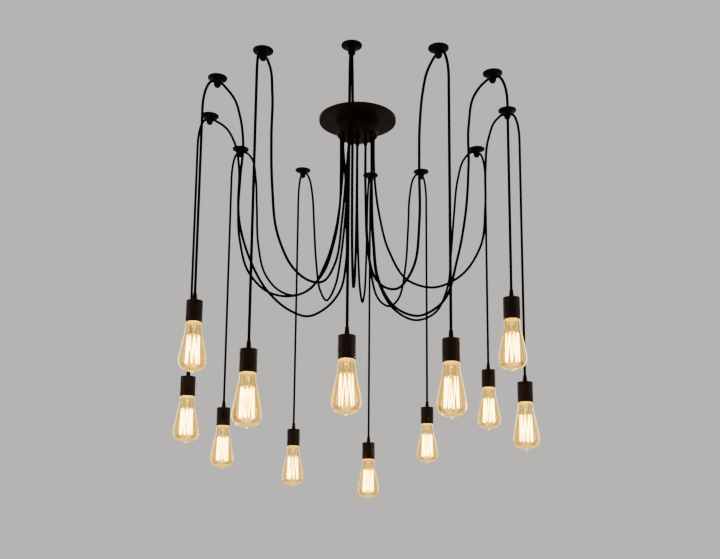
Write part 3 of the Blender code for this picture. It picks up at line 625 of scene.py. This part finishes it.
def make_leads():
    """Inside the canopy: each cord's end, from the splice out to its grip and down through it, and the
    sleeve of the splice round the stud."""
    start = [(SPLICE_RADIUS - SPLICE_HEIGHT / 2, SPLICE_DEPTH)]
    bend = quarter_turn((GRIP_RING_RADIUS - CORD_BEND_RADIUS, SPLICE_DEPTH),
                        (GRIP_RING_RADIUS, SPLICE_DEPTH + CORD_BEND_RADIUS))
    end = [(GRIP_RING_RADIUS, -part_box("canopy_cup")[0][2])]
    route = np.concatenate([start, bend, end])
    for light in range(LIGHTS):
        grip = grip_place(light)
        run = grip / GRIP_RING_RADIUS
        line = even_line(in_plane(grip, run, route), CORD_RING_RUN)
        grid = tube(line, CORD_RADIUS, np.cross(run, (0, 0, 1)))
        add_grids(f"lead_{light + 1:02d}", [grid], CORD, CEILING_BODY, "swag_cords", "cord_black",
                  lengthwise=np.arange(len(grid)) * CORD_RING_RUN)
    upper, lower = SPLICE_HEIGHT / 2 - SPLICE_DEPTH, -SPLICE_HEIGHT / 2 - SPLICE_DEPTH
    sleeve = (
        (SPLICE_BORE_RADIUS, upper, 0), (SPLICE_RADIUS, upper, SPLICE_EDGE),
        (SPLICE_RADIUS, lower, SPLICE_EDGE), (SPLICE_BORE_RADIUS, lower, 0))
    add_turned("splice_sleeve", sleeve, GRIP_NYLON, CEILING_BODY, "swag_cords", "cord_black", sides=72,
               loop=True)


# Canopy and what is in it


def make_canopy():
    """Each outline runs down the outer side and back up the inner one: the pan with its rim and the hole
    over the cup, and the cup with the stud's hole in its floor."""
    pan, rim, lip = 0.1025, 0.010, 0.0525
    cup, depth, hole = 0.0545, 0.0475, 0.0051
    wall, top = 0.0015, -0.0103
    outlines = {
        "canopy_pan": (
            (pan - wall / 2, 0, 0), (pan, 0, 0.0006), (pan, -rim, 0.0028), (lip, -rim, 0.0004),
            (lip, wall - rim, 0.0004), (pan - wall, wall - rim, 0.0018), (pan - wall, 0, 0.0006),
            (pan - wall / 2, 0, 0)),
        "canopy_cup": (
            (cup - wall / 2, top, 0), (cup, top, 0.0004), (cup, -depth, 0.0034), (hole, -depth, 0.0004),
            (hole, wall - depth, 0.0004), (cup - wall, wall - depth, 0.002), (cup - wall, top, 0.0004),
            (cup - wall / 2, top, 0)),
    }
    for node, corners in outlines.items():
        grid = revolved(rounded_outline(corners, steps=7)[:-1], sides=192)
        add_grids(f"spun_{node}", [grid], CANOPY_PAINT, CEILING_BODY, node, "canopy_black", loop=True)


def make_cord_grips():
    """The ring plate on the cup's floor, and a bushing round each cord below the cup."""
    foot, top = middle("cord_grips")[1:]
    plate, half = 0.0025, 0.0065
    inner, outer, under = GRIP_RING_RADIUS - half, GRIP_RING_RADIUS + half, top - plate
    ring = ((inner, top, 0), (outer, top, 0.0008), (outer, under, 0.0004), (inner, under, 0))
    add_turned("grip_ring", ring, GRIP_NYLON, CEILING_BODY, "cord_grips", "grip_black", sides=144,
               loop=True)
    bore, neck, collar, tip = CORD_RADIUS + FIT / 2, 0.0050, 0.0060, 0.0045
    collar_foot = foot + GRIP_TIP_HEIGHT
    collar_top = collar_foot + GRIP_COLLAR_HEIGHT
    bushing = rounded_outline((
        (bore, top - plate / 2, 0),
        (neck, top - plate / 2, 0),
        (neck, collar_top, 0),
        (collar, collar_top, 0.0004),
        (collar, collar_foot, 0.0012),
        (tip + 0.0004, foot + GRIP_TIP_HEIGHT / 2, 0.0010),
        (tip, foot, 0.0012),
        (bore, foot, 0.0003),
        (bore, collar_foot, 0),
    ))
    one = revolved(bushing, sides=40)
    grids = [moved(one, grip_place(light)) for light in range(LIGHTS)]
    add_grids("grip_bushings", grids, HOOK_PLASTIC, CEILING_BODY, "cord_grips", "grip_black", loop=True)


NUT_SIDES = 96


def hex_grid(outline, flats):
    """A turned outline on six sides: the radius at an angle is r / cos(a), where a is the angle from
    the middle of the nearest flat, but no more than the round outline's own radius."""
    grid = revolved(outline, NUT_SIDES)
    turn = np.arctan2(grid[..., 1], grid[..., 0])
    nearest = (turn + math.pi / 6) % (math.pi / 3) - math.pi / 6
    radius = np.hypot(grid[..., 0], grid[..., 1])
    inside = np.minimum(1, flats / np.cos(nearest) / np.maximum(radius, 1e-9))
    grid[..., :2] *= inside[..., None]
    return grid


def make_stud_fixing():
    """The stud, the lock nut that holds it in the crossbar, and the flanged cap nut under the cup. Only
    the middle rows of the cap nut are six-sided."""
    stud, bore, chamfer = 0.0048, 0.0051, 0.0008
    foot, top = middle("centre_stud")[1:]
    corners = ((0, top, 0), (stud, top, 0.0006), (stud, foot, 0.0008), (0, foot, 0))
    add_turned("threaded_stud", corners, ZINC, CEILING_BODY, "centre_stud", "zinc_steel", sides=64)

    flats, corner = 0.0072, 0.0083
    foot, top = middle("lock_nut")[1:]
    outline = rounded_outline((
        (bore, top, 0), (flats, top, 0), (corner, top - chamfer, 0), (corner, foot + chamfer, 0),
        (flats, foot, 0), (bore, foot, 0)))
    add_grids("hex_lock_nut", [hex_grid(outline, flats)], ZINC, CEILING_BODY, "lock_nut", "zinc_steel",
              loop=True, sharp_above=25)

    flats, corner, flange, dome, nose = 0.0074, 0.0085, 0.0100, 0.0075, 0.0030
    foot, top = middle("cap_nut")[1:]
    bore_end, flange_foot, hex_top, hex_foot = foot + 0.004, top - 0.0012, top - 0.0014, top - 0.0072
    outline = even_line(rounded_outline((
        (0, bore_end, 0), (bore, bore_end, 0), (bore, top, 0), (flange, top, 0.0003),
        (flange, flange_foot, 0.0004), (corner, hex_top, 0), (corner, hex_foot, 0.0006),
        (dome, hex_foot, 0.0004), (dome, hex_foot - 0.003, 0.0035), (nose, foot, 0.0030), (0, foot, 0),
    )), run=0.0006)
    turned = revolved(outline, NUT_SIDES)
    rows = turned[:, :1, 2:]
    round_rows = (rows > (flange_foot + hex_top) / 2) | (rows < hex_foot)
    grid = np.where(round_rows, turned, hex_grid(outline, flats))
    add_grids("domed_cap_nut", [grid], CANOPY_PAINT, CEILING_BODY, "cap_nut", "canopy_black",
              sharp_above=25)


# Each screw as (piece, node, shank's radius, head's height, half width of its cross)
SCREWS = (
    ("pan_screw_left", "ceiling_screw_1", 0.0021, 0.0030, 0.0006),
    ("pan_screw_right", "ceiling_screw_2", 0.0021, 0.0030, 0.0006),
    ("pan_screw_earth", "earth_screw", 0.0018, 0.0025, 0.0005),
)


def make_screw(name, node, shank, head_height, cross):
    """A pan-headed screw: the head's dome is an outline rounded at its edge, with a cross recess made by
    raising the points of its face that lie within the cross."""
    centre, foot, top = middle(node)
    head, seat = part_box(node)[1][0] - centre[0], foot + head_height
    face, face_depth, recess = 0.6 * head, 0.0006, 0.0011
    outline = even_line(rounded_outline((
        (0, top, 0), (shank, top, 0.0004), (shank, seat, 0), (head, seat, 0.0002),
        (head, seat - 0.0012, 0.0008), (face, foot, 0.001), (0, foot, 0))), run=0.00025)
    grid = revolved(outline, sides=64)
    x, y, z = grid[..., 0], grid[..., 1], grid[..., 2]
    in_cross = np.minimum(np.abs(x), np.abs(y)) < cross
    on_face = (np.hypot(x, y) < face) & (z < foot + face_depth)
    z += (in_cross & on_face) * recess
    add_grids(name, [moved(grid, (centre[0], centre[1], 0))], ZINC, CEILING_BODY, node, "zinc_steel")


def make_terminal_block():
    """Three moulded poles side by side: in plan each is a superellipse |x/a|^4 + |y/b|^4 = 1, drawn in
    towards its top and foot, with a screw well in its lower face. Its rows are shares of the plan and of
    the height."""
    low, high = (np.array(corner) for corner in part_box("terminal_block"))
    centre = (low + high) / 2
    length, width, height = high - low
    half_pole, apart = 0.53 * length / 3, 0.95 * length / 3
    turn = np.arange(64) * math.tau / 64
    power = (np.abs(np.cos(turn)) ** 4 + np.abs(np.sin(turn)) ** 4) ** -0.25
    rows = np.array(((0.0, 0.5), (0.86, 0.5), (1.0, 0.42), (1.0, -0.42), (0.86, -0.5), (0.42, -0.5),
                     (0.38, -0.1), (0.0, -0.1)))
    x = rows[:, :1] * power * np.cos(turn) * half_pole
    y = rows[:, :1] * power * np.sin(turn) * width / 2
    z = rows[:, 1:] * height + 0 * turn
    grids = [np.stack([x + i * apart, y, z], axis=2) + centre for i in (-1, 0, 1)]
    add_grids("moulded_block", grids, BLOCK_PLASTIC, CEILING_BODY, "terminal_block", "block_white")


def make_crossbar():
    """The bar keeps its CAD shape and gets a zinc finish."""
    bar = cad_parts["crossbar"]
    bar.data.materials.clear()
    bar.data.materials.append(ZINC)


# Hooks


def hook_grid():
    """A disc with a rolled edge, dished below to a boss with a rounded tip."""
    disc, dish, neck, boss, nose = 0.0234, 0.0155, 0.0095, 0.0083, 0.0042
    edge, tip = -0.0030, -0.0258
    outline = rounded_outline((
        (0, 0, 0), (disc, 0, 0.0005), (disc, edge, 0.0013), (dish, -0.0056, 0.004),
        (neck, -0.0082, 0.003), (boss, -0.0212, 0.0038), (nose, tip, 0.0030), (0, tip, 0),
    ), steps=8)
    return revolved(outline, sides=72)


def make_hook(light):
    """Each hook is bored along the cord's way, by an EXACT Boolean whose result becomes the mesh."""
    number = f"{light + 1:02d}"
    name = f"ceiling_hook_{number}"
    centre = middle(f"hook_{number}")[0]
    place = (centre[0], centre[1], 0)
    heading = math.atan2(*run_direction(light)[1::-1])
    blank = add_object("hook_blank", mesh_of(name, [moved(hook_grid(), place, heading)]))
    bore = even_line([(x, 0, -HOOK_BORE_DEPTH) for x in (-HOOK_BORE_REACH, HOOK_BORE_REACH)], run=0.01)
    bore_grid = moved(tube(bore, CORD_RADIUS + FIT, (0, 1, 0), sides=32), place, heading)
    cutter = add_object("hook_bore", mesh_of("hook_bore", [bore_grid]))
    cut = blank.modifiers.new("bore", "BOOLEAN")
    cut.operation = "DIFFERENCE"
    cut.solver = "EXACT"
    cut.object = cutter
    bpy.context.view_layer.update()
    graph = bpy.context.evaluated_depsgraph_get()
    bored = bpy.data.meshes.new_from_object(blank.evaluated_get(graph))
    bpy.data.objects.remove(blank)
    bpy.data.objects.remove(cutter)
    bored.shade_smooth()
    bored.set_sharp_from_angle(angle=math.radians(SHARP_ABOVE))
    bored.materials.clear()
    add_piece(name, bored, HOOK_PLASTIC, CEILING_BODY, f"hook_{number}")


# Lampholders and bulbs


def make_holder(light):
    """The shell with its bore, and the nylon grip on top that holds the cord."""
    number = f"{light + 1:02d}"
    body, node = f"pendant_{number}", f"lampholder_{number}"
    centre, rim, top = middle(node)
    place = (centre[0], centre[1], 0)
    shell_top = rim + HOLDER_LENGTH
    bore, bore_end = CAP_RADIUS + FIT, rim + CAP_HEIGHT + CAP_TIP_HEIGHT + HOLDER_ROOM
    shell = (
        (0, shell_top, 0),
        (HOLDER_RADIUS, shell_top, 0.0022),
        (HOLDER_RADIUS, rim, 0.0005),
        (bore, rim, 0.0005),
        (bore, bore_end, 0.001),
        (0, bore_end, 0),
    )
    add_turned(f"holder_shell_{number}", shell, HOLDER_PLASTIC, body, node, "holder_black", sides=80,
               place=place, steps=7)
    inside = CORD_RADIUS + FIT / 2
    grip = (
        (inside, shell_top + 0.008, 0),
        (inside, top, 0.0003),
        (0.0042, top, 0.0008),
        (0.0047, top - 0.006, 0.004),
        (0.0055, shell_top + 0.003, 0.002),
        (0.0057, shell_top, 0),
        (inside, shell_top, 0),
    )
    add_turned(f"holder_grip_{number}", grip, GRIP_NYLON, body, node, "holder_black", sides=48,
               place=place, steps=6, loop=True)


# Sizes of the bulb, in metres, with heights over the lampholder's rim. The outline of its glass is a row
# of (radius, height), from the neck to the tip
GLASS_OUTLINE = (
    (0.0124, 0.0040), (0.0126, 0.0010), (0.0140, -0.0005), (0.0168, -0.0016), (0.0179, -0.0045),
    (0.0183, -0.0110), (0.0189, -0.0180), (0.0208, -0.0290), (0.0233, -0.0410), (0.0262, -0.0550),
    (0.0293, -0.0700), (0.0314, -0.0810), (0.0320, -0.0880), (0.0313, -0.0955), (0.0287, -0.1025),
    (0.0238, -0.1083), (0.0170, -0.1122), (0.0095, -0.1140), (0.0042, -0.1147), (0.0026, -0.1158),
    (0.0022, -0.1170), (0.0014, -0.1178), (0.0, -0.1180),
)
SOLID_TIP_ROWS = 5
INNER_FOOT = -0.1146
GLASS_WALL = 0.0009
CAGE_LEGS = 18
CAGE_SWEEP = 0.95 * math.tau
CAGE_TOP = -0.0325
CAGE_FOOT = -0.0960
CAGE_TOP_RADIUS = 0.0138
CAGE_FOOT_RADIUS = 0.0156
FILAMENT_RADIUS = 0.00095
WIRE_RADIUS = 0.00022
STEM_BUTTON = -0.030
ROD_FOOT = -0.0995
LEAD_START = -0.014
LEAD_BEND = -0.026
THREAD_PITCH = 0.0036
THREAD_DEPTH = 0.0011
CONTACT_RADIUS = 0.0046
INSULATOR_TOP_RADIUS = 0.0062
INSULATOR_FOOT_RADIUS = 0.0110
# How far each bulb is turned in its lampholder, in degrees
BULB_TURNS = (20, 75, 130, 5, 200, 260, 310, 45, 100, 165, 230, 285)


def way_down(outline):
    """How far down each row of an outline is, as a share of its height."""
    height = np.asarray(outline)[:, 1]
    return (height.max() - height) / (height.max() - height.min())


def glass_grid():
    """A shell of glass: the outer outline, and back up it moved in by the wall along its normal, with
    the tip left solid."""
    outer = smooth_line(GLASS_OUTLINE, steps=4, end_slope=(-1, 0))
    inner = GLASS_OUTLINE[:-SOLID_TIP_ROWS] + ((0.0, INNER_FOOT),)
    inner = smooth_line(inner, steps=4, end_slope=(-1, 0))
    along = np.gradient(inner, axis=0)
    along /= np.linalg.norm(along, axis=1, keepdims=True)
    inner = inner + GLASS_WALL * np.stack([along[:, 1], -along[:, 0]], axis=1)
    inner[:, 0] = np.maximum(inner[:, 0], 0)
    inner[-1, 0] = 0
    outline = np.concatenate([outer, inner[::-1]])
    return revolved(outline, sides=72), way_down(outline)


def stem_grid():
    """The glass mount: a flared tube in the neck, hollow from above, pinched to a rod that runs down
    the middle with a button at each end."""
    outline = rounded_outline((
        (0, -0.012, 0), (0.0030, -0.011, 0.001), (0.0048, -0.004, 0.003), (0.0098, 0.006, 0.002),
        (0.0108, 0.007, 0.0004), (0.0100, 0.0048, 0.002), (0.0058, -0.005, 0.004), (0.0040, -0.014, 0.004),
        (0.0036, -0.022, 0.003), (0.0016, -0.026, 0.002), (0.0014, STEM_BUTTON + 0.002, 0.0008),
        (0.0027, STEM_BUTTON + 0.001, 0.0008), (0.0027, STEM_BUTTON - 0.001, 0.0008),
        (0.0012, STEM_BUTTON - 0.002, 0.0008), (0.0011, ROD_FOOT + 0.003, 0.0008),
        (0.0025, ROD_FOOT + 0.002, 0.0008), (0.0024, ROD_FOOT, 0.0010), (0, ROD_FOOT - 0.0004, 0),
    ))
    return revolved(outline, sides=40), way_down(outline)


def cage_line():
    """The filament: height z = middle + half asin(k sin(pi n s)) / asin(k), straight legs with rounded
    turns, while it goes nearly once round the cage, whose radius grows towards its foot."""
    k, steps = 0.985, 24
    s = np.linspace(0, 1, CAGE_LEGS * steps + 1)
    wave = np.arcsin(k * np.sin(math.pi * CAGE_LEGS * s)) / math.asin(k)
    middle_height, half = (CAGE_TOP + CAGE_FOOT) / 2, (CAGE_TOP - CAGE_FOOT) / 2
    turn = CAGE_SWEEP * s
    radius = (CAGE_TOP_RADIUS + CAGE_FOOT_RADIUS) / 2 - wave * (CAGE_FOOT_RADIUS - CAGE_TOP_RADIUS) / 2
    return np.stack([radius * np.cos(turn), radius * np.sin(turn), middle_height + half * wave], axis=1)


def support_lines():
    """A wire from a button on the rod to each turn of the filament, with a rise at its middle, and the
    two lead wires from the stem to the filament's ends."""
    upper = (CAGE_TOP_RADIUS, CAGE_TOP, STEM_BUTTON, 0.0022)
    lower = (CAGE_FOOT_RADIUS, CAGE_FOOT, ROD_FOOT + 0.001, 0.0005)
    lines = []
    for i in range(CAGE_LEGS):
        radius, height, hub, rise = lower if i % 2 else upper
        turn = CAGE_SWEEP * (i + 0.5) / CAGE_LEGS
        out = np.array((math.cos(turn), math.sin(turn), 0.0))
        start, rising = out * 0.001 + (0, 0, hub), out * radius * 0.5 + (0, 0, hub + rise)
        lines.append(smooth_line([start, rising, out * radius + (0, 0, height)], steps=6))
    cage = cage_line()
    for end, lean in ((cage[0], 0.002), (cage[-1], -0.002)):
        bend = (end[0] * 0.45, end[1] * 0.45 + lean, LEAD_BEND)
        lines.append(smooth_line([(0.0, lean, LEAD_START), bend, end], steps=8))
    return lines


def thread_grid():
    """The screw cap: its radius is R - d (1 - cos(2 pi z / pitch - angle)) / 2, a rolled thread, and it
    fades out towards the skirt and the shoulder."""
    sides, plain = 72, 0.002
    height = np.linspace(0.0, CAP_HEIGHT - plain, 90)[::-1, None]
    turn = np.arange(sides) * math.tau / sides
    fade = np.clip(np.minimum(height - plain, CAP_HEIGHT - 0.003 - height) / plain, 0, 1)
    depth = THREAD_DEPTH * (1 - np.cos(math.tau * height / THREAD_PITCH - turn)) / 2
    radius = CAP_RADIUS - 0.0001 - fade * depth
    screw = np.stack([radius * np.cos(turn), radius * np.sin(turn), height + 0 * turn], axis=2)
    crown, shoulder = CAP_HEIGHT + 0.0004, CAP_HEIGHT - 0.0006
    bore, bore_end = 0.0128, 0.0180
    top = revolved(((0, crown), (0.0075, crown), (0.0115, shoulder)), sides)
    inside = revolved(((bore, -0.0002), (bore, bore_end), (0, bore_end + 0.0015)), sides)
    return np.concatenate([top, screw, inside])


def make_bulb(light):
    """The glass with its stem, the filament on its support wires, and the cap with its contact in a ring
    of black glass."""
    number = f"{light + 1:02d}"
    body = node = f"bulb_{number}"
    centre = middle(node)[0]
    place = (centre[0], centre[1], middle(f"lampholder_{number}")[1])
    heading = math.radians(BULB_TURNS[light])
    glass, down = glass_grid()
    add_grids(f"bulb_glass_{number}", [moved(glass, place)], AMBER_GLASS, body, node, "amber_glass",
              loop=True, lengthwise=down)
    stem, down = stem_grid()
    add_grids(f"bulb_stem_{number}", [moved(stem, place)], STEM_GLASS, body, node, "amber_glass",
              lengthwise=down)
    filament = tube(cage_line(), FILAMENT_RADIUS, (0, 0, 1), sides=8)
    add_grids(f"bulb_filament_{number}", [moved(filament, place, heading)], FILAMENT, body, node,
              "amber_glass")
    wires = [tube(line, WIRE_RADIUS, (0.3, 0.5, 1), sides=6) for line in support_lines()]
    add_grids(f"bulb_wires_{number}", [moved(wire, place, heading) for wire in wires], WIRE_METAL, body,
              node, "zinc_steel")
    add_grids(f"bulb_cap_{number}", [moved(thread_grid(), place, heading)], CAP_METAL, body, node,
              "zinc_steel")
    tip_top = CAP_HEIGHT + CAP_TIP_HEIGHT
    tip_foot = tip_top - 0.001
    contact = (
        (0, tip_top, 0), (CONTACT_RADIUS, tip_top, 0.001), (CONTACT_RADIUS, tip_foot, 0), (0, tip_foot, 0))
    add_turned(f"bulb_contact_{number}", contact, CAP_METAL, body, node, "zinc_steel", sides=40,
               place=place)
    insulator = (
        (0, tip_foot, 0), (INSULATOR_TOP_RADIUS, tip_foot, 0.001),
        (INSULATOR_FOOT_RADIUS, CAP_HEIGHT, 0.001), (0, CAP_HEIGHT, 0))
    add_turned(f"bulb_insulator_{number}", insulator, BLACK_GLASS, body, node, "amber_glass", sides=56,
               place=place)


# Studio


# Softboxes as (name, place, width, power, colour)
SOFTBOXES = (
    ("left_strip", (-3.0, -1.2, -0.4), 0.35, 30, (1.0, 0.90, 0.76)),
    ("right_strip", (3.0, -1.0, -0.4), 0.35, 30, (1.0, 0.90, 0.76)),
    ("left_back_strip", (-2.2, 2.4, -0.4), 0.3, 25, (1.0, 0.92, 0.80)),
    ("right_back_strip", (2.2, 2.4, -0.4), 0.3, 25, (1.0, 0.92, 0.80)),
)
SOFTBOX_HEIGHT = 2.4
SOFTBOX_AIM = (0, 0, -0.5)


def make_floor():
    """A plain pale floor, as far below the ceiling as a room's is. Far out it fades into the backdrop."""
    sides = ((-1, -1), (1, -1), (1, 1), (-1, 1))
    corners = [(x * FLOOR_HALF, y * FLOOR_HALF, -FLOOR_DEPTH) for x, y in sides]
    mesh = bpy.data.meshes.new("studio_floor")
    mesh.from_pydata(corners, [], [(0, 1, 2, 3)])
    floor = add_object("studio_floor", mesh)
    material, tree, shader = new_material("pale_floor")
    place = add_node(tree, "ShaderNodeTexCoord")
    level = add_node(tree, "ShaderNodeVectorMath", {0: place.outputs["Object"], 1: (1.0, 1.0, 0.0)},
                     operation="MULTIPLY")
    out = add_node(tree, "ShaderNodeVectorMath", {0: level.outputs["Vector"]}, operation="LENGTH")
    fade = add_node(tree, "ShaderNodeMapRange", {
        "Value": out.outputs["Value"], "From Min": FLOOR_FADE_START, "From Max": FLOOR_FADE_END},
        interpolation_type="SMOOTHSTEP")
    black = (0, 0, 0)
    for name, near, far in (("Base Color", FLOOR_COLOUR, black), ("Emission Color", black, BACKDROP)):
        tree.links.new(add_tint(tree, fade.outputs["Result"], near, far), shader.inputs[name])
    shader.inputs["Emission Strength"].default_value = 1.0
    shader.inputs["Specular IOR Level"].default_value = 0.0
    shader.inputs["Roughness"].default_value = 0.9
    mesh.materials.append(material)


def add_softbox(name, place, width, power, colour):
    """An upright area light that faces the middle of the object."""
    light = bpy.data.lights.new(name, "AREA")
    light.shape = "RECTANGLE"
    light.size = width
    light.size_y = SOFTBOX_HEIGHT
    light.energy = power
    light.color = colour
    box = add_object(name, light)
    box.location = place
    box.rotation_euler = (Vector(SOFTBOX_AIM) - Vector(place)).to_track_quat("-Z", "Y").to_euler()


def make_studio():
    """The floor, a pale world all round, and the softboxes."""
    make_floor()
    world = bpy.data.worlds.new("studio")
    bpy.context.scene.world = world
    world.use_nodes = True
    sky = world.node_tree.nodes["Background"]
    sky.inputs["Color"].default_value = (*BACKDROP, 1.0)
    sky.inputs["Strength"].default_value = 1.0
    for softbox in SOFTBOXES:
        add_softbox(*softbox)


make_camera()
for light in range(LIGHTS):
    make_swag(light)
    make_drop(light)
make_leads()
make_canopy()
make_cord_grips()
make_stud_fixing()
for screw in SCREWS:
    make_screw(*screw)
make_terminal_block()
make_crossbar()
for light in range(LIGHTS):
    make_hook(light)
    make_holder(light)
    make_bulb(light)
make_studio()
